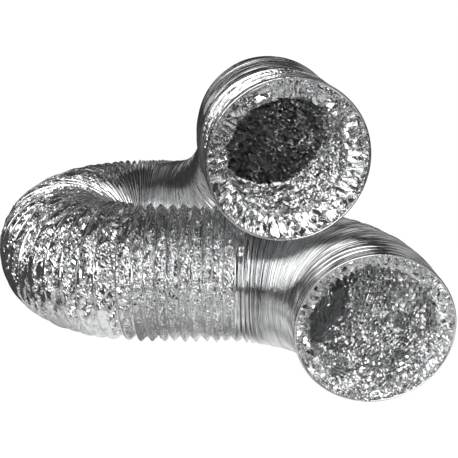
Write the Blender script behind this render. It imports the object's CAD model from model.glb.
"""Looks of the flexible foil air duct: the folded foil skin, its wire, the crumpled lining and the hems."""
import math

import bpy
import numpy as np
from mathutils import Matrix, Vector


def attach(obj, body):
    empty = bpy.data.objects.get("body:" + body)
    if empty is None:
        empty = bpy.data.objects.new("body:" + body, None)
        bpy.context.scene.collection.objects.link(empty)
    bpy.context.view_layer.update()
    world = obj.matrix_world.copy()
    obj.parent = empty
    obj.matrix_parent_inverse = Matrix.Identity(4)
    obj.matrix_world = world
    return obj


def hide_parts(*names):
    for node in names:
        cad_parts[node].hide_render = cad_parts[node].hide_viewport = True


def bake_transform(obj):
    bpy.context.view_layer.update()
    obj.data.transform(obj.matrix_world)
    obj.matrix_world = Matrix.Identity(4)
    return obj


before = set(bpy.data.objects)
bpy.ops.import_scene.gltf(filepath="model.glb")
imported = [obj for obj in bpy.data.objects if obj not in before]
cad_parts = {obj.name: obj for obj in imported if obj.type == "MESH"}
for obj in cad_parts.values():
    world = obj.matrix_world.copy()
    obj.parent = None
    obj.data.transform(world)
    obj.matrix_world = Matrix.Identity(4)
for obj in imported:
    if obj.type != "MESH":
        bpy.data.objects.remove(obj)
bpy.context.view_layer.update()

# ---------------------------------------------------------------- the duct's own sizes, in millimetres

MM = 0.001
CREST_R = 78.0               # over the fold crests
CORE_R = 67.0                # inside the folds of a compressed stretch
FOIL_PER_TURN = 22.5         # foil between two turns of the wire, measured over the fold
WIRE_D = 1.0
WIRE_RIDGE = 0.7             # how far the foil drops off beside the wire where a fold is open
FLATTEST_FOLD = 2.2          # depth of a fold that is drawn out all the way
RIM_STATION = 0.8            # how far the outermost turns lie inside the ends of the centre line
RIM_SPACING = 1.0            # spacing of the turns right at the ends
FLOOR_Z = -CREST_R
STATION = 0.5                # spacing of the sampled centre line

# The route, as in part.scad: name, length, bend angle, roll of the bend axis from upright
SECTIONS = [
    ("front_mouth", 30, 0, 0),
    ("front_neck", 85, 43, 0),
    ("front_elbow", 100, 42, 0),
    ("front_run", 120, 0, 0),
    ("bend_entry", 103, -57, 0),
    ("bend_crown", 98, -55, 0),
    ("bend_exit", 94, -58, 0),
    ("back_run", 45, -22, 0),
    ("riser_foot", 117, -54, 70),
    ("riser", 105, -33, 25),
    ("shoulder", 79, 45, 140),
    ("top_neck", 115, 8, 65),
    ("top_mouth", 30, 0, 0),
]
NAMES = [section[0] for section in SECTIONS]
LAST = len(SECTIONS) - 1

# Spacing of the wire turns along the centre line: section, share of its length, spacing.
# Between two of these places it changes evenly.
SPACING = [
    ("front_mouth", 0.0, 2.8),
    ("front_neck", 0.0, 3.3),
    ("front_neck", 1.0, 3.5),
    ("front_elbow", 0.70, 3.0),
    ("front_elbow", 0.78, 9.0),
    ("front_elbow", 0.90, 12.0),
    ("front_run", 0.50, 12.4),
    ("bend_entry", 0.0, 12.6),
    ("bend_crown", 0.50, 12.8),
    ("bend_exit", 0.20, 12.0),
    ("bend_exit", 0.60, 10.0),
    ("bend_exit", 0.95, 6.5),
    ("back_run", 0.25, 3.6),
    ("back_run", 1.0, 2.7),
    ("riser_foot", 1.0, 2.9),
    ("shoulder", 0.50, 3.2),
    ("top_neck", 0.70, 3.6),
    ("top_neck", 0.84, 8.0),
    ("top_mouth", 0.20, 10.0),
    ("top_mouth", 0.70, 9.0),
    ("top_mouth", 1.0, 2.5),
]
PACKED_BELOW = 6.0           # turns closer than this are a compressed stretch
PACKED_UNEVEN, OPEN_UNEVEN = 0.40, 0.12

# ---------------------------------------------------------------- seeded noise


def hashed(i, j, seed):
    """A fixed value from -1 to 1 for each pair of whole numbers."""
    h = i.astype(np.uint32) * np.uint32(374761393) + j.astype(np.uint32) * np.uint32(668265263)
    h = h + np.uint32(seed * 40503 + 977)
    h = (h ^ (h >> np.uint32(13))) * np.uint32(1274126177)
    h = (h ^ (h >> np.uint32(15))) * np.uint32(2246822519)
    return ((h ^ (h >> np.uint32(16))) & np.uint32(0xFFFFFF)) / float(0xFFFFFF) * 2 - 1


def facets(x, y, seed, wrap=0):
    """Crumpled noise: flat triangles between random heights, one cell per unit of x and y."""
    i, j = np.floor(x), np.floor(y)
    fx, fy = x - i, y - j
    i, j = i.astype(np.int64), j.astype(np.int64)
    i1 = i + 1
    if wrap:
        i, i1 = i % wrap, i1 % wrap
    a, b = hashed(i, j, seed), hashed(i1, j, seed)
    c, d = hashed(i, j + 1, seed), hashed(i1, j + 1, seed)
    low = a + (b - a) * fx + (c - a) * fy
    high = d + (c - d) * (1 - fx) + (b - d) * (1 - fy)
    return np.where(fx + fy < 1, low, high)


def drift(x, seed):
    """Smooth noise along one line, one knot per unit of x."""
    i = np.floor(x)
    f = x - i
    f = f * f * (3 - 2 * f)
    i = i.astype(np.int64)
    zero = np.zeros_like(i)
    return hashed(i, zero, seed) * (1 - f) + hashed(i + 1, zero, seed) * f


def smooth(x, low, high):
    """A soft step from 0 at low to 1 at high."""
    t = np.clip((x - low) / (high - low), 0, 1)
    return t * t * (3 - 2 * t)


# ---------------------------------------------------------------- the centre line


def walk_route():
    """The centre line, its heading and its upright at even stations, and the signed curvature there."""
    place, heading, up = Vector((0, 0, 0)), Vector((0, 1, 0)), Vector((0, 0, 1))
    rows, bends = [], []
    for name, length, angle, roll in SECTIONS:
        steps = round(length / STATION)
        step_angle = math.radians(angle) / steps
        side = up.cross(heading)
        axis = math.cos(math.radians(roll)) * up + math.sin(math.radians(roll)) * side
        half, whole = Matrix.Rotation(step_angle / 2, 3, axis), Matrix.Rotation(step_angle, 3, axis)
        for _ in range(steps):
            rows.append((*place, *heading, *up))
            bends.append((math.radians(angle) / length, -math.radians(roll)))
            place = place + half @ heading * STATION
            heading, up = whole @ heading, whole @ up
    rows.append((*place, *heading, *up))
    bends.append(bends[-1])
    return np.array(rows), np.array(bends)


ROUTE, BENDS = walk_route()
LENGTH = (len(ROUTE) - 1) * STATION
STARTS = [sum(section[1] for section in SECTIONS[:i]) for i in range(len(SECTIONS) + 1)]


def route_at(s):
    """Place, heading, side and upright at the stations s. Past an end the line runs straight on."""
    inside = np.clip(s, 0, LENGTH)
    x = inside / STATION
    i = np.minimum(x.astype(np.int64), len(ROUTE) - 2)
    f = (x - i)[..., None]
    row = ROUTE[i] * (1 - f) + ROUTE[i + 1] * f
    place, heading, up = row[..., 0:3], row[..., 3:6], row[..., 6:9]
    side = np.cross(up, heading)
    return place + heading * (s - inside)[..., None], heading, side, up


def around(s, r, theta):
    """Points r away from the centre line, theta round from its side to its upright, in metres."""
    place, heading, side, up = route_at(s)
    out = side * np.cos(theta)[..., None] + up * np.sin(theta)[..., None]
    points = place + out * np.asarray(r)[..., None]
    points[..., 2] = np.maximum(points[..., 2], FLOOR_Z)
    return points * MM


def squeeze(s, theta):
    """Length along the crests, as a share of the length along the centre line."""
    i = np.clip(np.round(s / STATION).astype(np.int64), 0, len(BENDS) - 1)
    return 1 - BENDS[i, 0] * CREST_R * np.cos(theta - BENDS[i, 1])


# ---------------------------------------------------------------- the turns of the wire


STEPS = 20                   # steps in one turn


def turn_stations():
    """The station of the wire at every step, from the spacing and its unevenness."""
    knots = []
    for name, share, _ in SPACING:
        i = NAMES.index(name)
        knots.append(STARTS[i] + share * SECTIONS[i][1])
    spacings = [spacing for _, _, spacing in SPACING]
    end = LENGTH - RIM_STATION
    s, stations = RIM_STATION, []
    while s < end:
        turn = len(stations) / STEPS
        stations.append(s)
        spacing = float(np.interp(s, knots, spacings))
        uneven = PACKED_UNEVEN if spacing < PACKED_BELOW else OPEN_UNEVEN
        spacing = spacing * (1 + uneven * float(drift(np.array([turn]), 5)[0]))
        if turn < 1 or s > LENGTH - 2 * RIM_SPACING:
            spacing = RIM_SPACING
        s += spacing / STEPS
    while len(stations) % STEPS:
        stations.append(end)
    return np.array(stations + [end])


TURN_STATIONS = turn_stations()
TURNS = (len(TURN_STATIONS) - 1) // STEPS


def station_of(n):
    """The station of the wire after n turns."""
    return np.interp(n, np.arange(len(TURN_STATIONS)) / STEPS, TURN_STATIONS)


def turn_of(s):
    """The number of turns up to a station."""
    return float(np.interp(s, TURN_STATIONS, np.arange(len(TURN_STATIONS)) / STEPS))


def away_from_ends(n):
    """0 at the end turns, which are even, and 1 from the third turn inward."""
    return smooth(n, 1, 3) * smooth(TURNS - n, 1, 3)


def tilted(n, theta):
    """How far the wire strays along the duct from an even helix."""
    room = station_of(n + 0.5) - station_of(n - 0.5)
    lean = drift(n * 0.31, 11) * np.cos(theta) + drift(n * 0.31, 12) * np.sin(theta)
    wave = drift(n * 5.1, 13) * 0.35
    return away_from_ends(n) * room * (0.16 * lean + 0.28 * wave)


def crest_radius(n):
    """The uneven radius of the crests: shallow swells along each turn."""
    swells = 0.60 * drift(n * 8.3, 21) + 0.40 * drift(n * 2.9, 22) - 0.4
    return CREST_R + away_from_ends(n) * swells


# ---------------------------------------------------------------- meshes


def new_piece(name, points, quads, flat, material):
    """A mesh object of quads. flat says which of them are shaded flat."""
    mesh = bpy.data.meshes.new(name)
    mesh.vertices.add(len(points))
    mesh.vertices.foreach_set("co", points.astype(np.float32).ravel())
    mesh.loops.add(quads.size)
    mesh.loops.foreach_set("vertex_index", quads.astype(np.int32).ravel())
    mesh.polygons.add(len(quads))
    mesh.polygons.foreach_set("loop_start", np.arange(0, quads.size, 4, dtype=np.int32))
    mesh.polygons.foreach_set("use_smooth", np.broadcast_to(~np.asarray(flat), (len(quads),)).copy())
    mesh.update(calc_edges=True)
    mesh.validate()
    mesh.materials.append(material)
    piece = bpy.data.objects.new(name, mesh)
    bpy.context.scene.collection.objects.link(piece)
    return piece


def mark_looseness(piece, looseness):
    """Stores how freely the foil of a piece can wrinkle, from 0 to 1, for its material."""
    values = np.broadcast_to(looseness, len(piece.data.vertices)).astype(np.float32)
    attribute = piece.data.attributes.new("looseness", "FLOAT", "POINT")
    attribute.data.foreach_set("value", values)


def tube_quads(rings, sides):
    """Quads between closed rings of points."""
    ring = np.arange(rings - 1)[:, None] * sides
    a, b = np.arange(sides)[None, :], (np.arange(sides)[None, :] + 1) % sides
    return np.stack([ring + a, ring + b, ring + sides + b, ring + sides + a], -1).reshape(-1, 4)


def fold_phases(rows):
    """Phases of the rows of one fold, closer together near the crests."""
    half = rows // 2
    v = np.linspace(0, 1, half + 1) ** 1.25
    return np.concatenate([v[:-1] / 2, 1 - v[:0:-1] / 2])


def crumple(strip, across, spread):
    """Height of the crumples of the foil: finer between close turns, coarser where it is drawn tight."""
    fine = 2.00 * facets(strip / 5.0 + 0.4 * across, across / 7.5, 31)
    fine += 0.80 * facets(strip / 2.8, across / 3.6, 32)
    coarse = 4.20 * facets(strip / 7.6 + 0.2 * across, across / 10.0, 33)
    coarse += 1.20 * facets(strip / 4.2 - 0.2 * across, across / 5.0, 34)
    height = fine * (1 - spread) + coarse * spread
    return np.where(height > 0, 0.6 * height, height)


def fold_points(turn, phase, theta):
    """Points of the folded skin, and the spacing of the turns there.

    turn and phase say where on the helical strip a point is, theta where round the duct."""
    n = turn + theta / math.tau
    s0, s1 = station_of(n), station_of(n + 1)
    pitch = np.maximum((s1 - s0) * squeeze((s0 + s1) / 2, theta), 0.4)
    half = FOIL_PER_TURN / 2
    depth = np.sqrt(np.maximum(half ** 2 - (pitch / 2) ** 2, FLATTEST_FOLD ** 2))
    opening = smooth(pitch, 4.5, 9.0)
    v = 1 - np.abs(2 * phase - 1)                # 0 at a crest, 1 at the root of the fold
    along = 0.5 * (1 - (1 - v) ** (3.0 - 1.75 * opening))
    along = np.where(phase > 0.5, 1 - along, along)
    ridge = WIRE_RIDGE * opening * smooth(v, 0.0, 0.09)
    drop = ridge + (depth - ridge) * v ** (1.8 - 0.7 * opening)
    drop = drop * smooth(n, 0.9, 2.5) * smooth(TURNS - n, 1.9, 3.5)

    strip = n * math.tau * CREST_R
    across = phase * FOIL_PER_TURN + 40 * turn
    spread = smooth(pitch, 11.0, 15.0)
    loose = smooth(v, 0.04 * opening, 0.10 + 0.2 * opening)
    height = crumple(strip, across, spread) * loose * (0.25 + 0.75 * opening)
    wall = np.hypot(pitch / 2, depth)
    sign = np.where(phase > 0.5, -1.0, 1.0)
    shift = height * sign * depth / wall * opening
    lift = height * np.where(opening > 0.5, pitch / 2 / wall, 0.4)

    s = s0 + along * (s1 - s0) + tilted(n + along, theta) + shift / np.maximum(squeeze(s0, theta), 0.3)
    r = crest_radius(n + along) - drop + lift
    return around(s, r, theta), pitch


COLUMNS = 240                # columns of the folded skin round the duct
FLAT_ABOVE = 7.0             # spacing of the turns above which the crumples are sharp facets


def fold_skin(name, first, last, rows, material):
    """The folded foil between two whole turns of the wire, as one helical strip of quads.

    The last point of a row is the first point of the row one turn further on."""
    phases = fold_phases(rows)
    count = (last - first) * rows + 1
    row = np.arange(count)
    turn = (first + row // rows).astype(float)[:, None]
    phase = phases[row % rows][:, None]
    theta = np.linspace(0, math.tau, COLUMNS + 1)[None, :]
    turn, phase, theta = np.broadcast_arrays(turn, phase, theta)
    points, pitch = fold_points(turn, phase, theta)
    index = np.arange(count)[:, None] * COLUMNS + np.arange(COLUMNS + 1)[None, :]
    closing = row + rows
    extra = closing >= count
    index[~extra, COLUMNS] = closing[~extra] * COLUMNS
    index[extra, COLUMNS] = count * COLUMNS + np.arange(extra.sum())
    vertices = np.concatenate([points[:, :COLUMNS].reshape(-1, 3), points[extra, COLUMNS]])
    quads = np.stack([index[:-1, :-1], index[:-1, 1:], index[1:, 1:], index[1:, :-1]], -1).reshape(-1, 4)
    flat = (pitch[:-1, :-1] > FLAT_ABOVE).ravel()
    piece = new_piece(name, vertices, quads, flat, material)
    loose = np.concatenate([pitch[:, :COLUMNS].ravel(), pitch[extra, COLUMNS]])
    mark_looseness(piece, smooth(loose, 4.0, 9.0))
    return piece


def wire_piece(name, first, last, material):
    """The spring wire under the crests, between two whole turns."""
    per_turn, sides = 72, 6
    n = np.linspace(first, last, (last - first) * per_turn + 1)[:, None]
    theta = n * math.tau
    tube = np.linspace(0, math.tau, sides, endpoint=False)[None, :]
    s = station_of(n) + tilted(n, theta) + WIRE_D / 2 * np.sin(tube)
    r = crest_radius(n) - 0.35 - WIRE_D / 2 * (1 - np.cos(tube))
    points = around(s, r, theta + 0 * tube)
    return new_piece(name, points.reshape(-1, 3), tube_quads(len(n), sides), False, material)


PLEAT_PITCH = 5.8            # spacing of the fold edges of the lining
CALM_FROM = 112              # depth where the folds behind the front mouth are drawn open
NEVER_CALM = 400             # deeper than the lining of the top mouth


def liner_piece(name, start, end, mouth, calm_from, material):
    """The crumpled inner edges of the folds, as seen from a mouth. It narrows behind the hem.

    At the depth calm_from and beyond, the folds are drawn open and their edges hardly stand up."""
    columns = 400
    rows = int(abs(end - start)) + 1
    s = np.linspace(start, end, rows)[:, None]
    theta = np.linspace(0, math.tau, columns, endpoint=False)[None, :]
    s, theta = np.broadcast_arrays(s, theta)
    inward = np.abs(s - mouth)
    turns = theta / math.tau
    warp = facets(turns * 40, s / 10, 41, wrap=40)
    edge = s / PLEAT_PITCH + 1.4 * facets(turns * 22, s / 19, 47, wrap=22)
    edge = edge + 0.3 * facets(turns * 70, s / 6, 48, wrap=70)
    stand = 1 - 0.85 * smooth(inward, calm_from, calm_from + 14)
    crest = 2.1 + 1.2 * smooth(inward, 40, 120)
    height = crest * stand * (2 * np.abs(2 * (edge - np.floor(edge)) - 1) - 1)
    height += 1.2 * facets(turns * 34, s / 13, 40, wrap=34)
    height += 1.9 * stand * facets(turns * 84, s / 5.2 + 0.5 * warp, 42, wrap=84)
    height += 1.5 * stand * facets(turns * 145, s / 3.1 + 0.3 * warp, 43, wrap=145)
    slide = 1.3 * facets(turns * 88, s / 5.0, 45, wrap=88)
    slide = slide + 0.5 * facets(turns * 160, s / 3.0, 46, wrap=160)
    narrowing, calm = smooth(inward, 2, 14), smooth(inward, 3, 10)
    rim_r = CREST_R - 2.5
    r = rim_r - (rim_r - CORE_R) * narrowing + height * calm
    points = around(s + slide * calm, r, theta)
    quads = tube_quads(rows, columns)
    if end > start:
        quads = quads[:, ::-1]
    piece = new_piece(name, points.reshape(-1, 3), quads, True, material)
    mark_looseness(piece, 1.0)
    return piece


RIM_R = 76.9                 # radius of the rim wire's own ring
BEAD = 0.95                  # half the thickness of the foil and wire at the rim
PLEATS = 52                  # pleats of a hem


def hem_piece(name, mouth, inward, width, seed, material):
    """The loose end of the foil: round the rim wire, then into the mouth as a pleated flap.

    inward is 1 where the duct runs on from the mouth, and -1 where it ends there."""
    columns = 560
    theta = np.linspace(0, math.tau, columns, endpoint=False)[None, :]
    turns = theta / math.tau
    bead = np.radians(np.array([-60, -20, 20, 60, 100, 140, 180]))[:, None]
    bead_r, bead_s = RIM_R + BEAD * np.cos(bead), 1.0 - BEAD * np.sin(bead)
    reach = np.linspace(0, 1, 21)[1:, None]
    bent = 0.45 * facets(turns * 37, reach * 2.4, seed + 5, wrap=37)
    beat = turns * PLEATS + 1.3 * facets(turns * 19, turns * 0, seed, wrap=19) + bent
    pleat = 2 * np.abs(2 * (beat - np.floor(beat)) - 1) - 1
    pleat = pleat * (0.9 + 0.6 * facets(turns * 29, turns * 0, seed + 1, wrap=29))
    flap_w = width + 1.9 * facets(turns * 31, turns * 0, seed + 2, wrap=31)
    dents = facets(turns * 67 + 0.5 * bent, reach * 4.0, seed + 3, wrap=67)
    fine = facets(turns * 151, reach * 9, seed + 4, wrap=151)
    gather = smooth(reach, 0.0, 0.12)
    flap_r = 75.9 - flap_w * reach + (0.7 * dents + 0.2 * fine) * gather
    rough = 3.9 * pleat * (0.6 + 0.4 * reach) + 0.7 * dents + 0.1 * fine
    flap_s = np.maximum(1.2 + 0.52 * width * reach ** 0.85 + gather * rough, 0.6)
    r = np.concatenate([np.broadcast_to(bead_r, (len(bead), columns)), flap_r])
    depth = np.concatenate([np.broadcast_to(bead_s, (len(bead), columns)), flap_s])
    theta = np.broadcast_to(theta, r.shape)
    points = around(mouth + inward * depth, r, theta)
    quads = tube_quads(len(r), columns)
    if inward < 0:
        quads = quads[:, ::-1]
    flat = np.repeat(np.arange(len(r) - 1) >= len(bead), columns)
    piece = new_piece(name, points.reshape(-1, 3), quads, flat, material)
    mark_looseness(piece, 1.0)
    return piece


# ---------------------------------------------------------------- materials


def node(tree, kind, **inputs):
    made = tree.nodes.new(kind)
    for key, value in inputs.items():
        made.inputs[key].default_value = value
    return made


def remap(tree, source, low, high, start=0.0, stop=1.0):
    """A value taken from the range start to stop into the range low to high."""
    made = tree.nodes.new("ShaderNodeMapRange")
    for key, value in (("From Min", start), ("From Max", stop), ("To Min", low), ("To Max", high)):
        made.inputs[key].default_value = value
    tree.links.new(source, made.inputs["Value"])
    return made.outputs["Result"]


def noise(tree, where, scale, detail):
    """Cloudy noise at the object's own coordinates."""
    made = node(tree, "ShaderNodeTexNoise", Scale=scale, Detail=detail)
    tree.links.new(where, made.inputs["Vector"])
    return made.outputs["Fac"]


def new_material(name):
    """A material, with its nodes, its shader and the object's own coordinates."""
    material = bpy.data.materials.new(name)
    material.use_nodes = True
    tree = material.node_tree
    where = tree.nodes.new("ShaderNodeTexCoord").outputs["Object"]
    return material, tree, tree.nodes["Principled BSDF"], where


def foil_material(name, colour, rough, wrinkle, grain):
    """Bright foil laminate: fine wrinkles, and roughness that varies from patch to patch."""
    material, tree, shader, where = new_material(name)
    shader.inputs["Metallic"].default_value = 1.0

    patches = noise(tree, where, 90.0, 3.0)
    tree.links.new(remap(tree, patches, *rough, 0.3, 0.7), shader.inputs["Roughness"])

    tone = tree.nodes.new("ShaderNodeMix")
    tone.data_type = "RGBA"
    tone.inputs["A"].default_value = (*[c * 0.90 for c in colour], 1)
    tone.inputs["B"].default_value = (*colour, 1)
    tree.links.new(patches, tone.inputs["Factor"])
    tree.links.new(tone.outputs["Result"], shader.inputs["Base Color"])

    cells = node(tree, "ShaderNodeTexVoronoi", Scale=330.0)
    tree.links.new(where, cells.inputs["Vector"])
    looseness = tree.nodes.new("ShaderNodeAttribute")
    looseness.attribute_name = "looseness"
    amount = remap(tree, looseness.outputs["Fac"], 0.08 * wrinkle, wrinkle)
    fold = node(tree, "ShaderNodeBump", Distance=0.0012)
    tree.links.new(amount, fold.inputs["Strength"])
    tree.links.new(cells.outputs["Distance"], fold.inputs["Height"])
    fine = node(tree, "ShaderNodeBump", Strength=grain, Distance=0.0003)
    tree.links.new(noise(tree, where, 900.0, 2.0), fine.inputs["Height"])
    tree.links.new(fold.outputs["Normal"], fine.inputs["Normal"])
    tree.links.new(fine.outputs["Normal"], shader.inputs["Normal"])
    return material


def wire_material():
    """Grey drawn spring steel."""
    material, tree, shader, where = new_material("spring_wire")
    shader.inputs["Metallic"].default_value = 1.0
    shader.inputs["Base Color"].default_value = (0.55, 0.55, 0.56, 1)
    drawn = noise(tree, where, 1500.0, 2.0)
    tree.links.new(remap(tree, drawn, 0.25, 0.45), shader.inputs["Roughness"])
    return material


def floor_material(name, glow):
    """A pale floor that glows, so shadows stay faint. glow is what the duct sees of it, unevenly."""
    material, tree, shader, where = new_material(name)
    shader.inputs["Base Color"].default_value = (0.10, 0.10, 0.10, 1)
    shader.inputs["Roughness"].default_value = 0.9
    shader.inputs["Specular IOR Level"].default_value = 0.1
    shader.inputs["Emission Color"].default_value = (1, 1, 1, 1)
    uneven = remap(tree, noise(tree, where, 16.0, 2.0), 0.35 * glow, 1.65 * glow, 0.40, 0.60)
    path = tree.nodes.new("ShaderNodeLightPath")
    level = node(tree, "ShaderNodeMapRange", **{"To Max": 0.97})
    tree.links.new(uneven, level.inputs["To Min"])
    tree.links.new(path.outputs["Is Camera Ray"], level.inputs["Value"])
    tree.links.new(level.outputs["Result"], shader.inputs["Emission Strength"])
    return material


# ---------------------------------------------------------------- camera and light


# Soft boxes round the duct: azimuth from the front (to the right), elevation, inner and outer half
# angle, strength. A box is even inside the inner angle and fades out up to the outer one.
SOFT_BOXES = [
    (-8, 24, 20, 30, 3.1),
    (-10, 62, 12, 20, 1.0),
    (-48, 34, 6, 16, 0.9),
    (-84, 28, 8, 15, 1.0),
    (-156, 24, 6, 15, 0.9),
    (176, 8, 6, 13, 0.6),
    (60, 45, 8, 18, 0.7),
    (112, 30, 10, 30, 0.55),
]
STUDIO_DARK = 0.055          # the studio between the soft boxes
TABLE_X = (-0.39, -0.15, 0.22)               # lines that divide the floor into 4 x 4 cells, in metres
TABLE_Y = (-0.50, -0.14, 0.26)
FLOOR_GLOW = (("pale_floor", 0.02), ("pale_table", 0.50), ("pale_front", 0.70))
GLOWING_CELLS = {(1, 2): 1, (2, 2): 1, (2, 1): 2}    # under the duct, and before the lower mouth


def add_camera():
    """The camera: a little above the duct, looking down at it."""
    data = bpy.data.cameras.new("camera")
    data.angle = math.radians(33.14)
    data.clip_end = 100
    camera = bpy.data.objects.new("camera", data)
    down, yaw = math.radians(19.08), math.radians(2.61)
    camera.location = (-0.1694, -0.6530, 0.3307)
    camera.rotation_euler = (math.pi / 2 - down, 0, -yaw)
    bpy.context.scene.collection.objects.link(camera)
    bpy.context.scene.camera = camera


def add_world():
    """A dark studio with soft boxes round the duct. The camera sees a pale backdrop."""
    world = bpy.data.worlds.new("studio")
    bpy.context.scene.world = world
    world.use_nodes = True
    tree = world.node_tree
    tree.nodes.clear()
    out = tree.nodes.new("ShaderNodeOutputWorld")
    where = tree.nodes.new("ShaderNodeTexCoord")
    light = None
    for azimuth, elevation, inner, outer, strength in SOFT_BOXES:
        dot = tree.nodes.new("ShaderNodeVectorMath")
        dot.operation = "DOT_PRODUCT"
        turn, height = math.radians(azimuth), math.radians(elevation)
        flat = math.cos(height)
        dot.inputs[1].default_value = (math.sin(turn) * flat, -math.cos(turn) * flat, math.sin(height))
        tree.links.new(where.outputs["Generated"], dot.inputs[0])
        glow = node(tree, "ShaderNodeMapRange", **{"To Max": strength})
        glow.interpolation_type = "SMOOTHSTEP"
        glow.inputs["From Min"].default_value = math.cos(math.radians(outer))
        glow.inputs["From Max"].default_value = math.cos(math.radians(inner))
        tree.links.new(dot.outputs["Value"], glow.inputs["Value"])
        total = tree.nodes.new("ShaderNodeMath")
        tree.links.new(glow.outputs["Result"], total.inputs[0])
        total.inputs[1].default_value = STUDIO_DARK if light is None else 0.0
        if light is not None:
            tree.links.new(light, total.inputs[1])
        light = total.outputs["Value"]
    studio = tree.nodes.new("ShaderNodeBackground")
    tree.links.new(light, studio.inputs["Strength"])
    backdrop = tree.nodes.new("ShaderNodeBackground")
    backdrop.inputs["Color"].default_value = (1, 1, 1, 1)
    path = tree.nodes.new("ShaderNodeLightPath")
    mix = tree.nodes.new("ShaderNodeMixShader")
    tree.links.new(path.outputs["Is Camera Ray"], mix.inputs["Fac"])
    tree.links.new(studio.outputs["Background"], mix.inputs[1])
    tree.links.new(backdrop.outputs["Background"], mix.inputs[2])
    tree.links.new(mix.outputs["Shader"], out.inputs["Surface"])


def add_floor():
    """A pale floor. The table, a few of its cells, lights the foil from below."""
    far = 30.0
    xs, ys = (-far, *TABLE_X, far), (-far, *TABLE_Y, far)
    corners = [(x, y, FLOOR_Z * MM) for y in ys for x in xs]
    cells = [(i, j) for j in range(4) for i in range(4)]
    quads = [(5 * j + i, 5 * j + i + 1, 5 * j + i + 6, 5 * j + i + 5) for i, j in cells]
    mesh = bpy.data.meshes.new("floor")
    mesh.from_pydata(corners, [], quads)
    for name, glow in FLOOR_GLOW:
        mesh.materials.append(floor_material(name, glow))
    for cell, polygon in zip(cells, mesh.polygons):
        polygon.material_index = GLOWING_CELLS.get(cell, 0)
    floor = bpy.data.objects.new("floor", mesh)
    bpy.context.scene.collection.objects.link(floor)


# ---------------------------------------------------------------- assembly


def blend_over(piece, k):
    """Lets a piece bend at the joint between sections k - 1 and k."""
    place, heading, _, _ = route_at(np.array([float(STARTS[k])]))
    place, heading = Vector(place[0]), Vector(heading[0])
    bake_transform(piece)


def middle_of(i):
    return (STARTS[i] + STARTS[i + 1]) / 2


def add_skin(foil, wire):
    """The folded skin and its wire, one piece of each from the middle of a section to the next one's."""
    edges = [0] + [round(turn_of(middle_of(i))) for i in range(LAST + 1)] + [TURNS]
    for k in range(LAST + 2):
        first, last = edges[k], edges[k + 1]
        here = [i for i in (k - 1, k) if 0 <= i <= LAST]
        label = "_to_".join(NAMES[i] for i in here)
        open_folds = (station_of(last) - station_of(first)) / (last - first) > 4.5
        skin = fold_skin("foil_" + label, first, last, 16 if open_folds else 8, foil)
        coil = wire_piece("wire_" + label, first, last, wire)
        for piece, slot in ((skin, "outer_foil"), (coil, "spring_wire")):
            if len(here) == 2:
                blend_over(piece, k)
            else:
                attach(piece, NAMES[here[0]])
        plies = [f"{NAMES[i]}_{ply}" for i in here for ply in ("outer_ply", "inner_ply")]
        if len(here) == 2:
            plies.append(f"flex_fold_{k}")
        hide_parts(*plies)
        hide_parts(*[f"{NAMES[i]}_wire" for i in here])


def add_hems(hem_foil):
    hems = [
        ("front_hem", "front_mouth", 0.0, 1, 14.5, 60),
        ("top_hem", "top_mouth", LENGTH, -1, 19.0, 70),
    ]
    for name, body, mouth, inward, width, seed in hems:
        hem = hem_piece(name + "_foil", mouth, inward, width, seed, hem_foil)
        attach(hem, body)
        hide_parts(name)


def add_linings(lining):
    """The lining as far as it shows through a mouth, in pieces that run over one joint each."""
    spans = [
        (1, 3.0, middle_of(1), 0.0, CALM_FROM),
        (2, middle_of(1), middle_of(2), 0.0, CALM_FROM),
        (LAST, LENGTH - 3.0, middle_of(LAST - 1), LENGTH, NEVER_CALM),
        (LAST - 1, middle_of(LAST - 1), middle_of(LAST - 2), LENGTH, NEVER_CALM),
        (LAST - 2, middle_of(LAST - 2), middle_of(LAST - 3), LENGTH, NEVER_CALM),
        (LAST - 3, middle_of(LAST - 3), middle_of(LAST - 4), LENGTH, NEVER_CALM),
    ]
    for k, start, end, mouth, calm_from in spans:
        name = f"lining_{NAMES[k - 1]}_to_{NAMES[k]}"
        piece = liner_piece(name, start, end, mouth, calm_from, lining)
        blend_over(piece, k)
        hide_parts(NAMES[k - 1] + "_inner_ply", NAMES[k] + "_inner_ply")


def build():
    foil = foil_material("outer_foil", (0.92, 0.925, 0.93), (0.08, 0.18), 0.20, 0.15)
    lining = foil_material("inner_foil", (0.95, 0.955, 0.96), (0.20, 0.36), 0.45, 0.3)
    hem_foil = foil_material("hem_foil", (0.93, 0.935, 0.94), (0.07, 0.15), 0.20, 0.15)
    wire = wire_material()
    for name in ("front_rim_wire", "top_rim_wire"):
        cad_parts[name].data.materials.clear()
        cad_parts[name].data.materials.append(wire)
    add_skin(foil, wire)
    add_hems(hem_foil)
    add_linings(lining)


bpy.context.scene.view_settings.view_transform = "Standard"
bpy.context.scene.cycles.glossy_bounces = 12
add_camera()
add_world()
add_floor()
build()
